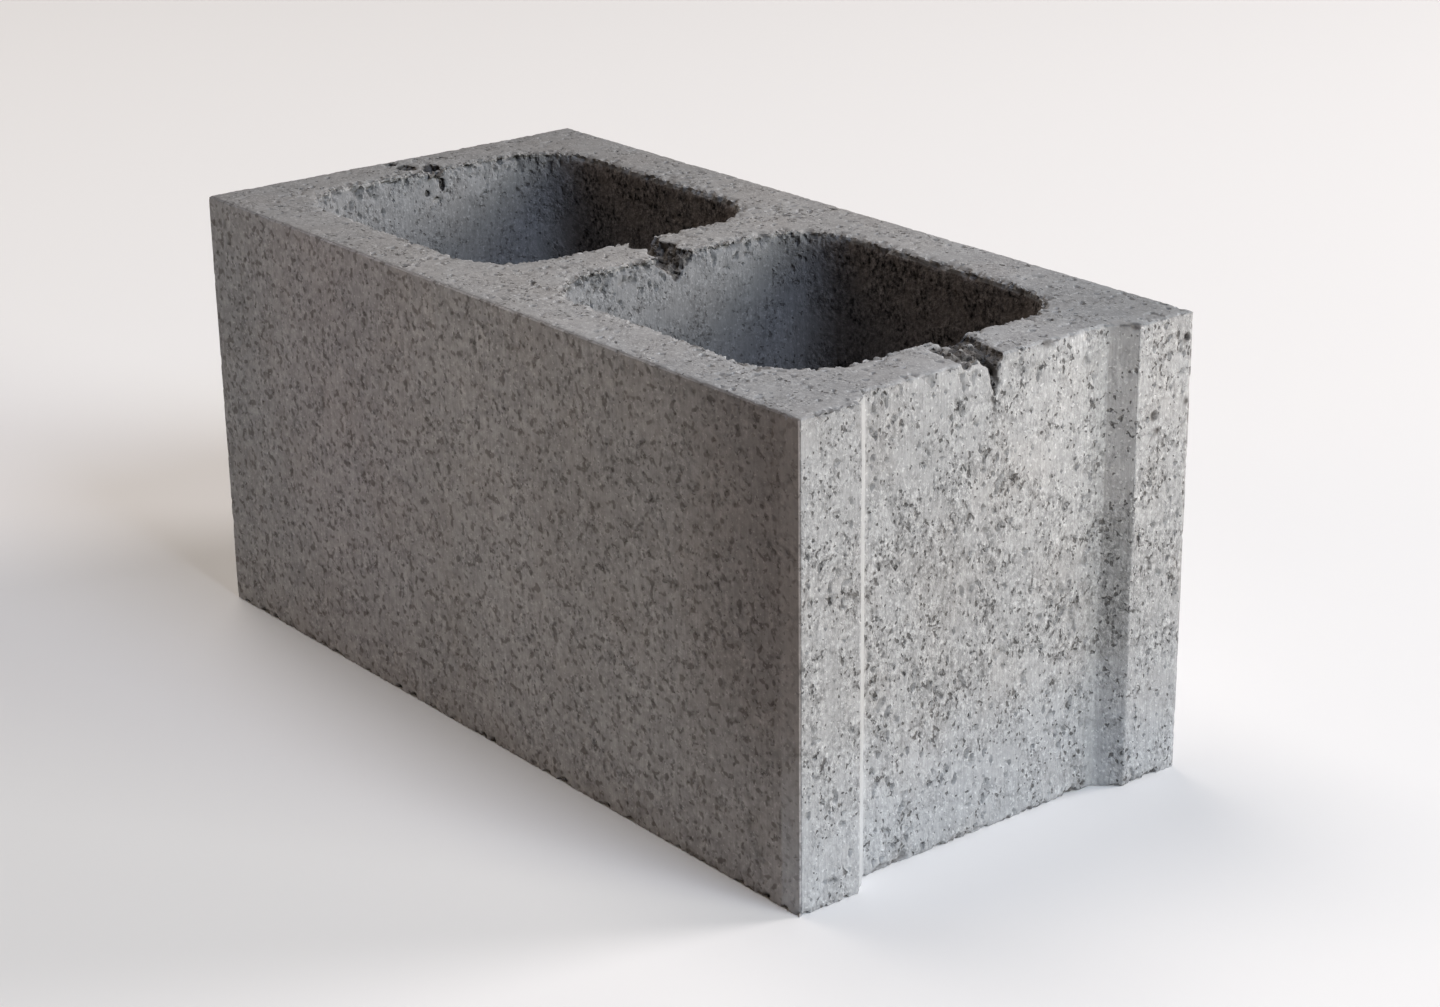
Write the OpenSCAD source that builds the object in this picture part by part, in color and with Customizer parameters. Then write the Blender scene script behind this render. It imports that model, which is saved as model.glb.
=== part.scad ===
// Hollow concrete masonry block with two cores, plain at one end and recessed at the other.
// Cast in one piece. Length along X, width along Y, standing on its bed face at Z = 0,
// with the origin at the centre of that face.

/* [Block] */
// Length over the plain end and the tips of the recessed end's ears
block_l = 390; // [300:1:450]
// Width over the two face shells
block_w = 190; // [150:1:240]
// Height from bed face to top face
block_h = 185; // [150:1:240]

/* [Walls] */
// Thickness of each long face shell, at the top
shell_t = 26.5; // [22:0.5:38]
// Thickness of the cross web at the plain end, at the top
plain_web_t = 25.5; // [22:0.5:38]
// Thickness of the cross web between the cores, at the top
middle_web_t = 28; // [22:0.5:38]
// Thickness of the cross web behind the end recess, at the top
recessed_web_t = 27.5; // [22:0.5:38]

/* [Cores] */
// Corner radius of a core, at the top
core_corner_r = 29; // [12:1:36]
// How far each core wall leans in on the way down, so that the mould releases
core_draft = 2.5; // [0:0.5:5]

/* [End recess] */
// Depth of the mortar recess between the ears
recess_depth = 8; // [4:0.5:16]
// Width of each ear's flat end face
ear_w = 28; // [20:1:40]
// How far the slanted flank of each ear runs across the end
flank_run = 8.5; // [4:0.5:16]

/* [Core bar marks] */
// Width of the mark across the top of a web
mark_w = 18; // [8:1:30]
// Width of the mark at its floor
mark_floor_w = 8; // [4:1:20]
// Depth of the mark in the middle web
middle_mark_depth = 8; // [2:0.5:15]
// Depth of the marks in the two end webs
end_mark_depth = 4; // [1:0.5:10]

/* [Hidden] */
// Cutters run this far past the faces they open
clear = 1;
core_segments = 32;
// Inner face of the recess, and the lengths of the two equal cores
recess_x = block_l / 2 - recess_depth;
core_l = (block_l - recess_depth - plain_web_t - middle_web_t - recessed_web_t) / 2;
core_w = block_w - 2 * shell_t;
plain_core_x = -block_l / 2 + plain_web_t + core_l / 2;
recessed_core_x = recess_x - recessed_web_t - core_l / 2;

// Plan of the block, with the trapezoid recess in the +X end
module outline() {
    mouth_y = block_w / 2 - ear_w;
    floor_y = mouth_y - flank_run;
    polygon([
        [-block_l / 2, -block_w / 2],
        [block_l / 2, -block_w / 2],
        [block_l / 2, -mouth_y],
        [recess_x, -floor_y],
        [recess_x, floor_y],
        [block_l / 2, mouth_y],
        [block_l / 2, block_w / 2],
        [-block_l / 2, block_w / 2],
    ]);
}

// One tapered core with round corners, open at both faces, centred on x
module core(x) {
    slope = core_draft / block_h;
    top_r = core_corner_r + slope * clear;
    bottom_r = core_corner_r - core_draft - slope * clear;
    corner_x = core_l / 2 - core_corner_r;
    corner_y = core_w / 2 - core_corner_r;
    translate([x, 0, -clear])
        hull()
            for (sx = [-1, 1], sy = [-1, 1])
                translate([sx * corner_x, sy * corner_y, 0])
                    cylinder(h = block_h + 2 * clear, r1 = bottom_r, r2 = top_r, $fn = core_segments);
}

// Mark that the core bar leaves across the top of one web, from x0 to x1
module bar_mark(x0, x1, depth) {
    flare = (mark_w - mark_floor_w) / 2 * clear / depth;
    translate([x0, 0, block_h])
        rotate([90, 0, 90])
            linear_extrude(x1 - x0)
                polygon([
                    [-mark_floor_w / 2, -depth],
                    [mark_floor_w / 2, -depth],
                    [mark_w / 2 + flare, clear],
                    [-mark_w / 2 - flare, clear],
                ]);
}

module block() {
    color([0.60, 0.60, 0.59])
        difference() {
            linear_extrude(block_h) outline();
            core(plain_core_x);
            core(recessed_core_x);
            bar_mark(-block_l / 2 - clear, plain_core_x, end_mark_depth);
            bar_mark(plain_core_x, recessed_core_x, middle_mark_depth);
            bar_mark(recessed_core_x, block_l / 2 + clear, end_mark_depth);
        }
}

block();
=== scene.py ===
import math

import bmesh
import bpy
import numpy as np
from mathutils import Matrix, Vector, noise


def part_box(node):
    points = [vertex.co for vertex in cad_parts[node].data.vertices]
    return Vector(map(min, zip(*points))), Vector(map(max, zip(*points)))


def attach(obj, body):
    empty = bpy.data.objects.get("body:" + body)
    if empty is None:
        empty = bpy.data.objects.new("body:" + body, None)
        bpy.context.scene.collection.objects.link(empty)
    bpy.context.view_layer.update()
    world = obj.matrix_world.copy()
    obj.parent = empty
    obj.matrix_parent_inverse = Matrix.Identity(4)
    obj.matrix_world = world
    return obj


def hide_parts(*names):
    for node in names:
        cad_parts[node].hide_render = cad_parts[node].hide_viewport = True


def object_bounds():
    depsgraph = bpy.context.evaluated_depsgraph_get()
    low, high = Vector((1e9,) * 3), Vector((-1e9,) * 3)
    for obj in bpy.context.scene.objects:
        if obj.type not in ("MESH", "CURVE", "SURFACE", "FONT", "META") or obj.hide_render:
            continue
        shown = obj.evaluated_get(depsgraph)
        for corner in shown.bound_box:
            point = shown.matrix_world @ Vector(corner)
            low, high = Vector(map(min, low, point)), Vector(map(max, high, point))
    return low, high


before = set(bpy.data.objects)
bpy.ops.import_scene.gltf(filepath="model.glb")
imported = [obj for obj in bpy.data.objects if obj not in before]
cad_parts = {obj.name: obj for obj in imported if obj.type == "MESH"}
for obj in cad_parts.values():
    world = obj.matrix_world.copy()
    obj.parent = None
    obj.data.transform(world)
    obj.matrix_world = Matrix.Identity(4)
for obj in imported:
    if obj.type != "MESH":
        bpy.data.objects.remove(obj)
cad_low, cad_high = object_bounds()

MM = 0.001

# The casting ------------------------------------------------------------------------------
# One block of dry-cast concrete, rammed into a steel mould and pushed out at once. It starts
# as the exact casting, with the core bar marks filled level, and is cut into fine even faces
# so that the voids, torn rims and crumbs below can be worked into it.
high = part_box("block")[1]
half_length = high[0] / MM
half_width = high[1] / MM
height = high[2] / MM
fine_face = 0.95 * MM
fine_gouge = 0.7 * MM
mark_floor = (height - 9) * MM

casting = bmesh.new()
casting.from_mesh(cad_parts["block"].data)
bmesh.ops.remove_doubles(casting, verts=casting.verts, dist=1e-6)
for vert in casting.verts:
    if vert.co.z > mark_floor:
        vert.co.z = high[2]
block_mesh = bpy.data.meshes.new("block_body")
casting.to_mesh(block_mesh)
casting.free()
block = bpy.data.objects.new("block_body", block_mesh)
bpy.context.scene.collection.objects.link(block)


def settle(piece):
    """Makes the piece's modifiers part of its mesh."""
    graph = bpy.context.evaluated_depsgraph_get()
    finished = bpy.data.meshes.new_from_object(piece.evaluated_get(graph))
    piece.modifiers.clear()
    piece.data = finished
    finished.name = piece.name


def refine(piece, size):
    """Cuts the piece into fine even faces, and makes overlapping lumps one skin."""
    fine = piece.modifiers.new("fine", "REMESH")
    fine.mode = "VOXEL"
    fine.voxel_size = size
    settle(piece)


def lump(build, centre, radii, roughness):
    """Adds one irregular lump, in millimetres, to a mesh being built."""
    made = bmesh.ops.create_icosphere(build, subdivisions=3, radius=1.0)["verts"]
    for vert in made:
        swell = 1 + roughness * noise.fractal(vert.co * 1.7 + Vector(centre), 1.0, 2.0, 2)
        vert.co = Vector(centre) + Vector(radii) * swell * vert.co
        vert.co *= MM


def lump_run(build, start, end, first, last, roughness):
    """Adds a chain of overlapping lumps along a line, from the first radius to the last."""
    span = Vector(end) - Vector(start)
    steps = max(2, math.ceil(span.length / min(first, last) / 0.8))
    for index in range(steps):
        share = index / (steps - 1)
        radius = first + (last - first) * share
        sideways = 0.25 * radius * math.sin(index * 2.4)
        upwards = 0.15 * radius * math.sin(index * 4.1)
        sway = Vector((0, sideways, upwards))
        lump(build, Vector(start) + span * share + sway, (radius, radius, radius), roughness)


def lump_object(name, build):
    """Makes the lumps a finished object."""
    mesh = bpy.data.meshes.new(name)
    build.to_mesh(mesh)
    build.free()
    made = bpy.data.objects.new(name, mesh)
    bpy.context.scene.collection.objects.link(made)
    return made


# Core bar marks: the bar that carries the core formers crosses each web, and the loose mix
# under it is never rammed, so it crumbles away. The middle web is left with an open channel,
# the recessed end with a loosely filled one and a hole, and the plain end with a few holes.
gouges = bmesh.new()
lump_run(gouges, (-21, 1.5, 183.5), (13, -2.5, 184.0), 6.0, 7.4, 0.5)
lump_run(gouges, (160, 3.0, 186.5), (189, -3.5, 186.5), 6.0, 5.0, 0.5)
lump_run(gouges, (166, -8.5, 185.0), (188, -11.0, 184.0), 2.0, 2.0, 0.4)
lump_run(gouges, (163, 9.0, 185.0), (187, 4.0, 184.0), 2.6, 2.2, 0.4)
lump(gouges, (184, 1.6, 182.5), (7.0, 2.3, 6.5), 0.25)
lump(gouges, (186, 2.0, 176.5), (3.0, 1.3, 4.5), 0.25)
lump(gouges, (-191, -6.0, 185.0), (3.5, 3.0, 3.0), 0.4)
lump(gouges, (-181, -4.0, 184.5), (5.5, 4.0, 4.5), 0.4)
lump(gouges, (-175, 5.0, 184.5), (5.5, 4.0, 5.0), 0.5)
lump(gouges, (-169.5, 7.5, 177.5), (2.4, 1.6, 3.6), 0.5)
lump(gouges, (-169.5, -0.5, 174.5), (2.2, 1.4, 1.9), 0.5)
lump(gouges, (-169.5, 4.5, 170.5), (2.0, 2.6, 1.6), 0.5)
lump(gouges, (-169.5, 1.0, 167.5), (1.8, 1.5, 1.2), 0.5)
lump(gouges, (9.5, -1.0, 175.0), (2.0, 1.6, 2.2), 0.4)

# Single holes along the arrises where a coarse grain came away: centre, then radius.
lost_grains = (
    (195, 92, 175, 1.7),
    (195, 93, 150, 1.2),
    (195, 76, 148, 1.8),
    (195, 78, 142, 1.2),
    (187, 29, 185, 2.2),
    (193, 66, 185, 2.0),
    (191, 62, 185, 1.4),
    (195, 80, 0, 1.8),
    (194, 65, 0, 1.5),
    (187, 47, 0, 2.0),
    (187, 53, 3, 1.2),
    (187, 33, 0, 1.5),
    (187, 25, 0, 1.8),
    (187, 14, 0, 1.5),
    (187, -15, 0, 1.5),
    (187, -43, 0, 1.6),
    (187, -52, 0, 1.2),
)
for *grain, grain_radius in lost_grains:
    lump(gouges, grain, (grain_radius, grain_radius, grain_radius * 1.2), 0.5)
gouged = lump_object("gouges", gouges)
refine(gouged, fine_gouge)
carve = block.modifiers.new("carve", "BOOLEAN")
carve.operation = "DIFFERENCE"
carve.object = gouged
settle(block)
bpy.data.objects.remove(gouged)

# Loose crumbs left in the marks, and the small ridge beside the hole in the end one.
crumbs = bmesh.new()
crumbs.from_mesh(block.data)
lump(crumbs, (184.0, -4.6, 179.2), (3.2, 2.6, 5.2), 0.2)
lump(crumbs, (174, -1, 182.0), (4.5, 3.5, 2.4), 0.5)
lump(crumbs, (168, -4, 182.5), (3.4, 2.6, 2.2), 0.5)
lump(crumbs, (170, 5, 182.5), (3.5, 2.6, 2.2), 0.5)
lump(crumbs, (-184, 3.0, 182.8), (3.0, 3.5, 2.2), 0.4)
lump(crumbs, (-13, 6.5, 180.0), (2.4, 2.0, 2.6), 0.5)
lump(crumbs, (-8, 5.5, 177.5), (2.6, 2.2, 2.2), 0.5)
lump(crumbs, (-3, 6.0, 180.5), (2.2, 2.0, 2.6), 0.5)
lump(crumbs, (2, 5.0, 177.0), (2.6, 2.2, 2.4), 0.5)
lump(crumbs, (6, 4.5, 180.5), (2.0, 2.0, 2.6), 0.5)
crumbs.to_mesh(block.data)
crumbs.free()
refine(block, fine_face)

count = len(block.data.vertices)
place = np.empty(count * 3, np.float32)
block.data.vertices.foreach_get("co", place)
place = place.reshape(-1, 3) / MM
facing = np.empty(count * 3, np.float32)
block.data.vertex_normals.foreach_get("vector", facing)
facing = facing.reshape(-1, 3)
x, y, z = place.T.copy()

# Distances, in millimetres, from every point of the surface to the arrises and core rims.
core_half_length, core_half_width, core_corner = 75.25, 68.5, 29.0
core_centres = (-94.25, 84.25)
core_draft = 2.5
mouth, floor_half, recess_depth = 67.0, 58.5, 8.0


def core_distance(centre):
    """Distance in plan from a core's wall, positive in the concrete."""
    lean = core_draft * (height - z) / height
    inner_x = np.abs(x - centre) - (core_half_length - core_corner)
    inner_y = np.abs(y) - (core_half_width - core_corner)
    outside = np.hypot(np.maximum(inner_x, 0), np.maximum(inner_y, 0))
    return outside + np.minimum(np.maximum(inner_x, inner_y), 0) - core_corner + lean


to_core = np.minimum(*[np.abs(core_distance(centre)) for centre in core_centres])
recess_x = half_length - recess_depth
outline = np.array([
    (-half_length, -half_width),
    (half_length, -half_width),
    (half_length, -mouth),
    (recess_x, -floor_half),
    (recess_x, floor_half),
    (half_length, mouth),
    (half_length, half_width),
    (-half_length, half_width),
])
to_outline = np.full(count, 1e9)
to_corner = np.full(count, 1e9)
for start, end in zip(outline, np.roll(outline, -1, axis=0)):
    side = end - start
    share = ((x - start[0]) * side[0] + (y - start[1]) * side[1]) / (side @ side)
    share = np.clip(share, 0, 1)
    gap = np.hypot(x - start[0] - share * side[0], y - start[1] - share * side[1])
    to_outline = np.minimum(to_outline, gap)
    to_corner = np.minimum(to_corner, np.hypot(x - start[0], y - start[1]))


def near(distance, reach):
    """1 at no distance, and close to 0 beyond about twice the reach in millimetres."""
    return np.exp(-(distance / reach) ** 2)


# Zones of the surface. Each is 1 at the place named and fades within a few millimetres.
to_top = height - z
on_outside = to_outline < 1.5
on_core_wall = (to_core < 1.0) & ~on_outside
near_top_arris = near(np.hypot(to_top, to_outline), 1.5)
near_bed_arris = near(np.hypot(z, to_outline), 2.0)
near_side_arris = near(to_corner, 1.2) * on_outside * (np.abs(y) > mouth + 4)
on_flank = (x > recess_x + 0.4) & (np.abs(y) < mouth - 0.3)
ragged = near(np.hypot(to_top, half_length - x), 2.3)
ragged *= np.clip((y + 90) / 5, 0, 1) * np.clip((-66.5 - y) / 4, 0, 1)
pitted = near(y + 55.8, 2.4) * (x > recess_x - 1.5) * np.clip((z - 50) / 60, 0, 1)
near_top_rim = near(np.hypot(to_top, to_core), 2.6)
near_bed_rim = near(np.hypot(z, to_core), 2.4)
broken_rim = near(np.hypot(to_top, to_core * 1.4), 6.0)
from_plain_wall = [np.abs(x - centre + core_half_length) for centre in core_centres]
broken_rim *= np.minimum(*from_plain_wall) < 9
broken_rim *= np.clip((62 - np.abs(y)) / 10, 0, 1)


def speckle(size, stretch=1.0, octaves=1, shift=0.0, where=None):
    """Lumpy noise over the surface, about -1 to 1, with lumps of the given size in millimetres."""
    points = np.stack([x / size + shift, y / size, z / (size * stretch)], 1)
    values = np.zeros(count)
    picked = np.arange(count) if where is None else np.nonzero(where)[0]
    values[picked] = [noise.fractal(p, 1.0, 2.0, octaves) for p in points[picked].tolist()]
    return values


def step(value, low_edge, high_edge):
    """Smooth rise from 0 to 1 between two values."""
    t = np.clip((value - low_edge) / (high_edge - low_edge), 0, 1)
    return t * t * (3 - 2 * t)


# Voids: where the dry mix did not close against the mould, in loose clusters.
cluster = speckle(30, octaves=2, shift=11)
voids = speckle(3.2, stretch=1.25, octaves=2, shift=5)
below_rim = on_core_wall * near(to_top, 14) * (facing[:, 0] > 0.5)
opens_at = 0.40 - 0.30 * cluster - 0.22 * below_rim - 0.30 * pitted
void_depth = step(voids, opens_at, opens_at + 0.22) * (0.9 + 0.4 * pitted)
void_depth *= np.where((np.abs(y) > half_width - 1.5) | (x < 1.5 - half_length), 0.6, 1.0)
void_depth *= np.where(on_flank, np.where(y < 0, 0.05, 0.5), 1.0)
void_depth *= np.where(on_core_wall & (below_rim < 0.2), 0.4, 1.0) * np.where(z < 0.5, 0.5, 1.0)
straight = 1 - near(to_corner, 2.5) * on_outside
straight *= 1 - near(np.hypot(np.minimum(to_top, z), to_outline), 2.0)
void_depth *= 0.15 + 0.85 * straight
waviness = 0.12 * (1 + cluster)

# Torn rims and chipped arrises: the core formers drag crumbs off the rims as they pull out.
# The crumbs are rounded lumps with sharp creases between them.
loose = (to_top < 14) & (np.abs(y) < 17) & (to_core > 0.6) & ~on_outside
edges = np.maximum.reduce([near_top_arris, near_bed_arris, near_side_arris, near_top_rim, near_bed_rim])
edges = np.maximum(edges, loose & (to_top > 0.7))
edges = np.maximum.reduce([edges, broken_rim, ragged])
tearing = speckle(4.2, octaves=2, shift=23, where=edges > 0.02)
creases = 1 - np.clip(np.abs(speckle(2.8, octaves=2, shift=31, where=edges > 0.02)) / 0.25, 0, 1)
torn = near_top_rim * (np.maximum(tearing + 0.05, 0) * 4.5 + creases * 0.8)
torn += broken_rim * (np.maximum(tearing + 0.1, 0) * 2.6 + creases * 0.9)
torn += near_bed_rim * (np.maximum(tearing, 0) * 2.5 + creases * 0.5)
at_end = np.where(x > recess_x - 2, 1.0, 0.35)
torn += near_top_arris * at_end * (np.maximum(tearing, 0) * 2.6 + creases * 0.6)
torn += near_bed_arris * (np.maximum(tearing - 0.08, 0) * 3.6 + creases * 0.4)
torn += near_side_arris * np.maximum(tearing - 0.15, 0) * 0.5
torn += ragged * (np.maximum(tearing + 0.10, 0) * 5.0 + creases * 1.2)
torn += (loose & (to_top > 0.7)) * creases * 1.2

# A hair crack runs down the end from the hole in the bar mark.
crack_y = 2.4 + 0.9 * np.sin(z * 0.55) + 0.5 * np.sin(z * 1.7)
crack = near(y - crack_y, 0.75) * step(z, 152, 172) * (x > recess_x - 2)

# Everything is worked inwards along the surface's own direction, never outwards.
inward = void_depth + waviness + torn + crack
place -= (inward[:, None] * facing).astype(np.float32)

# How much painted shade each point gets in its hollows, holes, crack and torn rims, and how much is core
# wall, for the material.
hollow_shade_share = np.clip(void_depth / 0.9, 0, 1) * 0.25 + np.clip(torn / 2.5, 0, 1) * 0.4 + crack * 0.9
snagged = np.clip(tearing / 0.35, 0, 1)
hollow_shade_share += near_bed_arris * snagged * 0.5 + ragged * snagged * 0.6
hollow_shade_share = np.maximum(hollow_shade_share, (loose & (to_top > 0.7)) * (0.70 + 0.30 * creases))
hole = np.exp(-(((y - 1.8) / 3.0) ** 2 + ((z - 181) / 8.0) ** 2) ** 2) * (x > 172) * (x < recess_x - 0.4)
for grain_x, grain_y, grain_z, grain_radius in lost_grains:
    away = np.sqrt((x - grain_x) ** 2 + (y - grain_y) ** 2 + (z - grain_z) ** 2)
    hole = np.maximum(hole, np.exp(-((away / (grain_radius * 1.2)) ** 6)))
ridge = np.exp(-(((y + 4.6) / 3.0) ** 2 + ((z - 180) / 6.0) ** 2) ** 2) * (x > 179)
hollow_shade_share = np.maximum(hollow_shade_share * (1 - 0.9 * ridge), hole)
painted_hollow_shade = block.data.attributes.new("painted_hollow_shade", "FLOAT", "POINT")
painted_hollow_shade.data.foreach_set("value", np.clip(hollow_shade_share, 0, 1).astype(np.float32))
# The core wall share is smaller where a wall faces the recessed end, so the painted shade on the core
# walls follows the way they face the light.
inner_share = on_core_wall * step(to_top, 0.5, 4.0) * (1 - 0.45 * np.clip(facing[:, 0], 0, 1))
inner = block.data.attributes.new("inner", "FLOAT", "POINT")
inner.data.foreach_set("value", inner_share.astype(np.float32))
block.data.vertices.foreach_set("co", (place * MM).ravel())

# Flat stretches need few faces, so they are thinned and the voids keep theirs.
most_triangles = 194000
sharpest_smooth = math.radians(33)
thin = block.modifiers.new("thin", "DECIMATE")
thin.ratio = most_triangles / (2 * len(block.data.polygons))
settle(block)
for vert in block.data.vertices:
    for axis in range(3):
        vert.co[axis] = min(max(vert.co[axis], cad_low[axis]), cad_high[axis])
block.data.shade_smooth()
block.data.set_sharp_from_angle(angle=sharpest_smooth)
even = block.modifiers.new("even", "WEIGHTED_NORMAL")
even.keep_sharp = True
settle(block)

# Concrete ---------------------------------------------------------------------------------
# Grey cement and sharp sand, unpainted: pale paste, darker sand grains, open pores darkened inside
# by painted shade, faint upright drag lines on the moulded faces, and a dead matt surface.
paste = (0.335, 0.330, 0.326, 1)
pore_shade_colour = (0.060, 0.056, 0.053, 1)
hollow_shade_colour = (0.055, 0.047, 0.042, 1)
grit = (0.62, 0.61, 0.60, 1)
brown_sand = (0.31, 0.26, 0.22, 1)
painted_highlight_paste = (0.50, 0.50, 0.49, 1)
concrete = bpy.data.materials.new("concrete")
concrete.use_nodes = True
tree = concrete.node_tree
shader = tree.nodes["Principled BSDF"]
where = tree.nodes.new("ShaderNodeTexCoord").outputs["Object"]
split = tree.nodes.new("ShaderNodeSeparateXYZ")
tree.links.new(where, split.inputs["Vector"])
along, across, above = (split.outputs[axis] for axis in "XYZ")


def painted(name):
    """A value held on the block's own mesh."""
    node = tree.nodes.new("ShaderNodeAttribute")
    node.attribute_name = name
    return node.outputs["Fac"]


def lumps(size, detail=2.0, rough=0.5, stretch=1.0, shift=0.0):
    """Noise on the block's own coordinates with lumps of the given size in millimetres."""
    turn = tree.nodes.new("ShaderNodeMapping")
    turn.inputs["Location"].default_value = (shift, shift, shift)
    turn.inputs["Scale"].default_value = (1, 1, 1 / stretch)
    tree.links.new(where, turn.inputs["Vector"])
    cloud = tree.nodes.new("ShaderNodeTexNoise")
    cloud.inputs["Scale"].default_value = 1 / (size * MM)
    cloud.inputs["Detail"].default_value = detail
    cloud.inputs["Roughness"].default_value = rough
    tree.links.new(turn.outputs["Vector"], cloud.inputs["Vector"])
    return cloud.outputs["Fac"]


def span(value, from_low, from_high, to_low, to_high, kind="SMOOTHSTEP"):
    """Maps a value from one range to another, held at both ends."""
    node = tree.nodes.new("ShaderNodeMapRange")
    node.interpolation_type = kind
    node.inputs["From Min"].default_value = from_low
    node.inputs["From Max"].default_value = from_high
    node.inputs["To Min"].default_value = to_low
    node.inputs["To Max"].default_value = to_high
    tree.links.new(value, node.inputs["Value"])
    return node.outputs["Result"]


def combine(operation, first, second):
    """One arithmetic step between two values, either of which may be a plain number."""
    node = tree.nodes.new("ShaderNodeMath")
    node.operation = operation
    for socket, value in zip(node.inputs, (first, second)):
        if isinstance(value, (int, float)):
            socket.default_value = value
        else:
            tree.links.new(value, socket)
    return node.outputs["Value"]


def times(first, second):
    """The product of two values."""
    return combine("MULTIPLY", first, second)


def plus(first, second):
    """The sum of two values."""
    return combine("ADD", first, second)


def times_in(zone, share, value):
    """A value multiplied by a share inside a zone, and left alone outside it."""
    return times(value, span(zone, 0.0, 1.0, 1.0, share))


def between(axis, low_start, low_end, high_start, high_end):
    """A zone that rises to 1 and falls to 0 again along an axis."""
    return times(span(axis, low_start, low_end, 0.0, 1.0), span(axis, high_start, high_end, 1.0, 0.0))


def near_point(centre, full, edge):
    """A zone round a point: 1 within the first distance, 0 beyond the second."""
    gap = tree.nodes.new("ShaderNodeVectorMath")
    gap.operation = "DISTANCE"
    gap.inputs[1].default_value = centre
    tree.links.new(where, gap.inputs[0])
    return span(gap.outputs["Value"], full, edge, 1.0, 0.0)


def tint(blend, amount, base, layer):
    """Lays one colour over another and returns the result."""
    node = tree.nodes.new("ShaderNodeMix")
    node.data_type = "RGBA"
    node.blend_type = blend
    for socket, value in zip((node.inputs[0], node.inputs[6], node.inputs[7]), (amount, base, layer)):
        if isinstance(value, bpy.types.NodeSocket):
            tree.links.new(value, socket)
        else:
            socket.default_value = value
    return node.outputs[2]


def grey(value):
    """A value as a colour."""
    node = tree.nodes.new("ShaderNodeCombineColor")
    for socket in node.inputs:
        tree.links.new(value, socket)
    return node.outputs["Color"]


# Zones of the block. Each is 1 inside and 0 outside, with a short soft edge.
on_core = painted("inner")
on_side = span(above, 0.1838, 0.1844, 1.0, 0.0)
on_front = span(across, -0.0943, -0.0936, 1.0, 0.0)
on_back = span(across, 0.0936, 0.0943, 0.0, 1.0)
on_plain_end = span(along, -0.1943, -0.1936, 1.0, 0.0)
moulded = combine("MAXIMUM", combine("MAXIMUM", on_front, on_back), on_plain_end)
on_end = span(along, 0.184, 0.186, 0.0, 1.0)
on_near_flank = times(times(on_end, on_side), between(across, -0.0671, -0.0666, -0.0592, -0.0587))
on_far_flank = times(on_end, between(across, 0.0582, 0.0590, 0.0666, 0.0672))
flank_top = times(on_far_flank, span(above, 0.100, 0.125, 0.0, 1.0))
lower_flank = combine("SUBTRACT", on_far_flank, flank_top)
lower_flank = times(lower_flank, span(above, 0.040, 0.070, 0.0, 1.0))
low_end = times(on_end, span(above, 0.015, 0.075, 1.0, 0.0))
high_end = times(on_end, span(above, 0.125, 0.165, 0.0, 0.7))
calm_end = combine("MAXIMUM", low_end, high_end)
painted_wall_shade = span(on_core, 0.6, 0.9, 0.0, 1.0)
painted_cool_wall_light = combine("SUBTRACT", span(on_core, 0.0, 0.4, 0.0, 1.0), painted_wall_shade)


def top_only(zone):
    """A zone kept to the top of the block."""
    return combine("MAXIMUM", combine("SUBTRACT", zone, on_side), 0.0)


# Paste and sand: slow clouds, a mottle, and grains that stand out more in rough patches.
clouding = span(lumps(75, 3, 0.55), 0.30, 0.70, 0.92, 1.06, "LINEAR")
mottle = span(lumps(9, 3, 0.6, shift=3.0), 0.25, 0.75, 0.88, 1.11, "LINEAR")
moulded_mottle = span(lumps(4.5, 2, 0.5, shift=33.0), 0.25, 0.75, -0.17, 0.16, "LINEAR")
mottle = plus(mottle, times(moulded, moulded_mottle))
rough_patch = lumps(12, 4, 0.6, shift=12.0)
unrest = times(span(rough_patch, 0.36, 0.64, 0.45, 1.70), span(on_side, 0.0, 1.0, 0.42, 1.0))
unrest = times(unrest, span(on_core, 0.0, 0.5, 1.0, 0.60))
unrest = times(unrest, span(on_core, 0.6, 1.0, 1.0, 4.0))
unrest = times_in(moulded, 0.66, unrest)
unrest = times_in(on_near_flank, 0.2, unrest)
unrest = times_in(flank_top, 0.45, unrest)
unrest = times_in(calm_end, 0.62, unrest)
coarse = span(lumps(2.4, 2, 0.5, stretch=1.1, shift=7.0), 0.2, 0.8, -0.40, 0.34, "LINEAR")
fine = span(lumps(1.2, 1, 0.5, stretch=1.2, shift=9.0), 0.2, 0.8, -0.22, 0.22, "LINEAR")
fine = times_in(moulded, 0.35, fine)
grain = times(plus(coarse, fine), unrest)
drag = span(lumps(1.0, 1, 0.5, stretch=16, shift=1.0), 0.25, 0.75, 0.92, 1.08, "LINEAR")
tone = times(times(clouding, mottle), plus(grain, 1.0))
tone = times(tone, drag)
colour = tint("MULTIPLY", 1.0, paste, grey(tone))

# Pores: small and large ones, closer together in the rough patches, with painted shade inside them.
crowding = plus(span(rough_patch, 0.36, 0.64, 0.08, -0.04), span(on_side, 0.0, 1.0, 0.05, 0.0))
crowding = plus(crowding, times(combine("MAXIMUM", calm_end, flank_top), 0.025))
crowding = plus(crowding, times(moulded, 0.027))
small_cloud = lumps(1.9, 1, 0.5, stretch=1.1, shift=20.0)
large_cloud = lumps(3.6, 2, 0.5, stretch=1.1, shift=26.0)
small_pores = combine("SUBTRACT", small_cloud, plus(crowding, 0.635))
large_pores = combine("SUBTRACT", large_cloud, plus(crowding, 0.665))
pores = span(combine("MAXIMUM", small_pores, large_pores), -0.03, 0.08, 0.0, 1.0)
pores = times_in(on_near_flank, 0.1, pores)
pores = times(pores, span(on_core, 0.0, 0.5, 1.0, 0.6))
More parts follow.
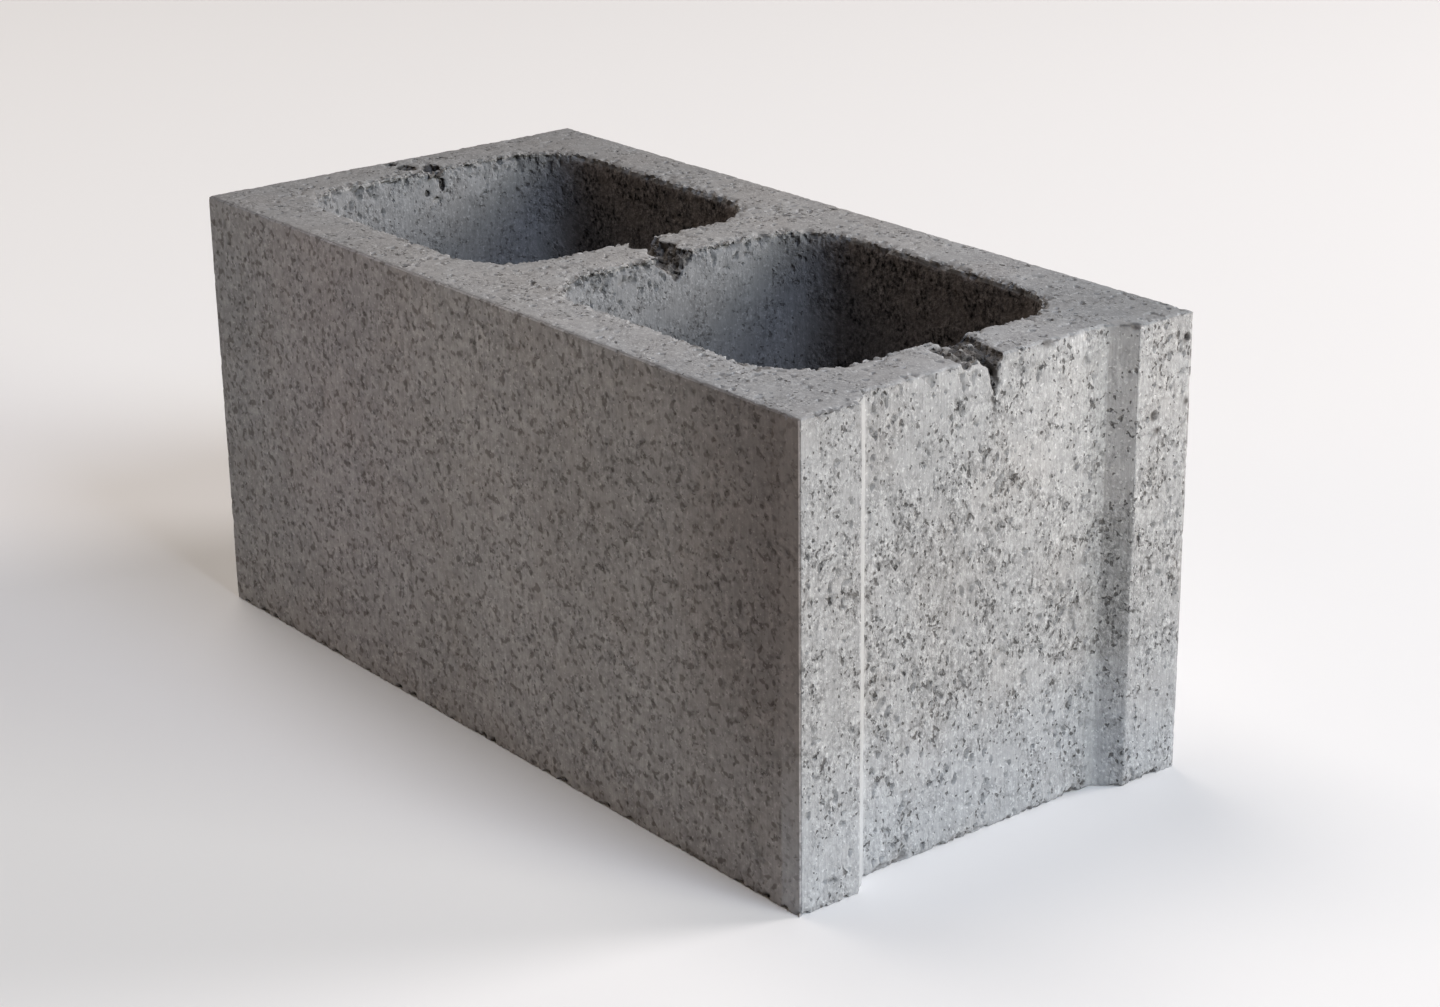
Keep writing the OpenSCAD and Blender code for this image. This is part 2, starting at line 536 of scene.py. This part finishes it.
# Painted shade: the pores are darkened inside, less so on the moulded faces.
pore_shade_share = times(pores, span(moulded, 0.0, 1.0, 0.80, 0.42))
colour = tint("MIX", pore_shade_share, colour, pore_shade_colour)
soft_spots = times(moulded, span(lumps(3.6, 1, 0.5, shift=71.0), 0.56, 0.67, 0.0, 0.85))
colour = tint("MULTIPLY", soft_spots, colour, (0.45, 0.43, 0.42, 1))
pale_grit = span(lumps(1.4, 1, 0.5, shift=41.0), 0.62, 0.72, 0.0, 0.45)
colour = tint("MIX", pale_grit, colour, grit)
warmth = span(lumps(32, 2, 0.5, shift=52.0), 0.40, 0.68, 0.0, 0.10)
colour = tint("MIX", warmth, colour, brown_sand)

# Painted shade in the hollows and core walls, and a painted highlight on the end's front arris and the
# near flank.
# Painted shade: the hollows, holes, crack, torn rims and loose crumbs are darkened where shade falls in
# them.
colour = tint("MIX", times(painted("painted_hollow_shade"), 0.88), colour, hollow_shade_colour)
# Painted shade on the core walls: darker overall, cooler where they face the recessed end, browner on
# the others.
colour = tint("MULTIPLY", on_core, colour, (0.59, 0.59, 0.60, 1))
colour = tint("MULTIPLY", painted_cool_wall_light, colour, (0.91, 0.935, 0.97, 1))
colour = tint("MULTIPLY", painted_wall_shade, colour, (0.84, 0.78, 0.755, 1))
# Painted highlight: the recessed end beside its front arris, and the near flank, are lightened.
painted_highlight = times(on_end, span(across, -0.0950, -0.0935, 0.35, 0.0))
painted_highlight = combine("MAXIMUM", painted_highlight, times(on_near_flank, 0.28))
colour = tint("MIX", painted_highlight, colour, painted_highlight_paste)

# Painted light and shade: the front darkens and warms towards the recessed end, as painted shade.
# Its shades are at even steps from the plain end to the recessed one.
front_shade_steps = (
    (0.92, 0.95, 0.98, 1),
    (1.0, 0.975, 1.0, 1),
    (1.0, 0.985, 0.975, 1),
    (0.87, 0.85, 0.83, 1),
    (0.50, 0.455, 0.435, 1),
)
front_shade_ramp = tree.nodes.new("ShaderNodeValToRGB")
front_shade_ramp.color_ramp.interpolation = "EASE"
for position in (0.25, 0.5, 0.75):
    front_shade_ramp.color_ramp.elements.new(position)
for stop, shade in zip(front_shade_ramp.color_ramp.elements, front_shade_steps):
    stop.color = shade
tree.links.new(span(along, -0.195, 0.195, 0.0, 1.0, "LINEAR"), front_shade_ramp.inputs["Fac"])
# Painted shade on the front, weaker near its foot.
front_shade_share = times(on_front, span(above, 0.0, 0.11, 0.50, 1.0))
colour = tint("MULTIPLY", front_shade_share, colour, front_shade_ramp.outputs["Color"])
# Painted light: the foot of the front is lightened, fading out by 30 mm up.
painted_low_front_light = times(on_front, span(above, 0.0, 0.03, 1.0, 0.35))
colour = tint("MULTIPLY", painted_low_front_light, colour, (1.15, 1.14, 1.15, 1))
# Painted shade: the far flank is darkened, more in its middle height than at its top.
colour = tint("MULTIPLY", lower_flank, colour, (0.82, 0.82, 0.81, 1))
colour = tint("MULTIPLY", flank_top, colour, (0.88, 0.87, 0.86, 1))
# Painted light: a cool cast at the foot of the recessed end, fading out by 80 mm up.
painted_cool_light_low_end = times(span(above, 0.01, 0.08, 1.0, 0.0), on_end)
colour = tint("MULTIPLY", painted_cool_light_low_end, colour, (1.0, 1.05, 1.11, 1))
# Painted light: a pool of light on the recessed end, round a point near its back and 150 mm up.
painted_light_patch = times(near_point((0.187, 0.050, 0.150), 0.015, 0.075), on_end)
colour = tint("MULTIPLY", painted_light_patch, colour, (1.20, 1.19, 1.18, 1))
# Painted shade: the top darkens towards the plain end.
painted_shade_top = top_only(span(along, -0.21, 0.09, 1.0, 0.0))
colour = tint("MULTIPLY", painted_shade_top, colour, (0.72, 0.73, 0.74, 1))
# Painted shade: a darker patch on the top at the back corner of the recessed end.
painted_shade_corner = top_only(near_point((0.175, 0.090, 0.185), 0.015, 0.065))
colour = tint("MULTIPLY", painted_shade_corner, colour, (0.77, 0.79, 0.80, 1))
# Painted light: a cool cast on the top towards the recessed end.
painted_cool_light_top = top_only(span(along, -0.03, 0.15, 0.0, 1.0))
colour = tint("MULTIPLY", painted_cool_light_top, colour, (0.97, 0.995, 1.025, 1))
tree.links.new(colour, shader.inputs["Base Color"])

roughness = span(lumps(3.3, 2, 0.5, shift=60.0), 0.3, 0.7, 0.86, 0.97)
tree.links.new(roughness, shader.inputs["Roughness"])
shader.inputs["Specular IOR Level"].default_value = 0.22

# Relief too fine for the mesh: sand grains stand up, pores sink, drag lines run upright.
relief = times(times(lumps(1.2, 3, 0.65, stretch=1.1, shift=9.0), 1.1), unrest)
relief = combine("SUBTRACT", relief, times(pores, 0.9))
relief = plus(relief, times(drag, 0.5))
relief = times_in(moulded, 0.6, relief)
bump = tree.nodes.new("ShaderNodeBump")
bump.inputs["Strength"].default_value = 0.9
bump.inputs["Distance"].default_value = 0.0007
tree.links.new(relief, bump.inputs["Height"])
tree.links.new(bump.outputs["Normal"], shader.inputs["Normal"])

block.data.materials.clear()
block.data.materials.append(concrete)
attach(block, "root")
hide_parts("block")

# Floor ------------------------------------------------------------------------------------
# A pale, plain, matt studio floor that the block stands on. It isn't part of the block.
floor_half_side = 7.0
floor_build = bmesh.new()
bmesh.ops.create_grid(floor_build, x_segments=1, y_segments=1, size=floor_half_side)
floor_mesh = bpy.data.meshes.new("floor")
floor_build.to_mesh(floor_mesh)
floor_build.free()
floor = bpy.data.objects.new("floor", floor_mesh)
bpy.context.scene.collection.objects.link(floor)
pale = bpy.data.materials.new("studio_floor")
pale.use_nodes = True
pale_shader = pale.node_tree.nodes["Principled BSDF"]
pale_shader.inputs["Base Color"].default_value = (0.86, 0.86, 0.86, 1)
pale_shader.inputs["Roughness"].default_value = 1.0
pale_shader.inputs["Specular IOR Level"].default_value = 0.0
floor.data.materials.append(pale)

# Lights -----------------------------------------------------------------------------------
# Three broad soft lights beyond the recessed end and the back, one overhead beyond the plain
# end, and a faint warm one low in front. Only these light the scene.
aim = Vector((0, 0, 0.09))


def soft_light(name, azimuth, elevation, distance, size, power, colour):
    """A round soft light. Azimuth runs from +X towards +Y."""
    lamp = bpy.data.lights.new(name, "AREA")
    lamp.shape = "DISK"
    lamp.size = size
    lamp.energy = power
    lamp.color = colour
    turn, rise = math.radians(azimuth), math.radians(elevation)
    away = Vector((math.cos(turn) * math.cos(rise), math.sin(turn) * math.cos(rise), math.sin(rise)))
    holder = bpy.data.objects.new(name, lamp)
    holder.location = aim + away * distance
    holder.rotation_mode = "QUATERNION"
    holder.rotation_quaternion = away.to_track_quat("Z", "Y")
    bpy.context.scene.collection.objects.link(holder)


soft_light("key", 22, 14, 5.0, 2.1, 131, (1.0, 1.0, 0.89))
soft_light("side", 65, 20, 5.0, 2.1, 188, (1.0, 0.94, 0.93))
soft_light("cool_end", 5, 40, 5.0, 2.1, 114, (0.73, 0.82, 1.0))
soft_light("overhead", 180, 65, 5.2, 3.2, 128, (1.0, 0.92, 0.85))
soft_light("front", -125, 16, 4.0, 2.0, 20, (1.0, 0.80, 0.62))
world = bpy.data.worlds.new("studio")
world.use_nodes = True
world.node_tree.nodes["Background"].inputs["Strength"].default_value = 0.0
bpy.context.scene.world = world
bpy.context.scene.view_settings.view_transform = "Standard"

# Camera -----------------------------------------------------------------------------------
# A long lens a little over a metre away, above the corner of the front and recessed end.
azimuth, elevation, roll = math.radians(51.49), math.radians(20.49), math.radians(-0.73)
distance, target = 1.1969, Vector((0.0171, 0.0131, 0.0786))
back = Vector((
    math.sin(azimuth) * math.cos(elevation),
    -math.cos(azimuth) * math.cos(elevation),
    math.sin(elevation),
))
level = Vector((math.cos(azimuth), math.sin(azimuth), 0))
upright = back.cross(level)
right = math.cos(roll) * level + math.sin(roll) * upright
up = back.cross(right)
lens = bpy.data.cameras.new("camera")
lens.sensor_width = 36
lens.lens = 73.41
lens.clip_start = 0.01
camera = bpy.data.objects.new("camera", lens)
turned = Matrix((right, up, back)).transposed().to_4x4()
camera.matrix_world = Matrix.Translation(target + back * distance) @ turned
bpy.context.scene.collection.objects.link(camera)
bpy.context.scene.camera = camera
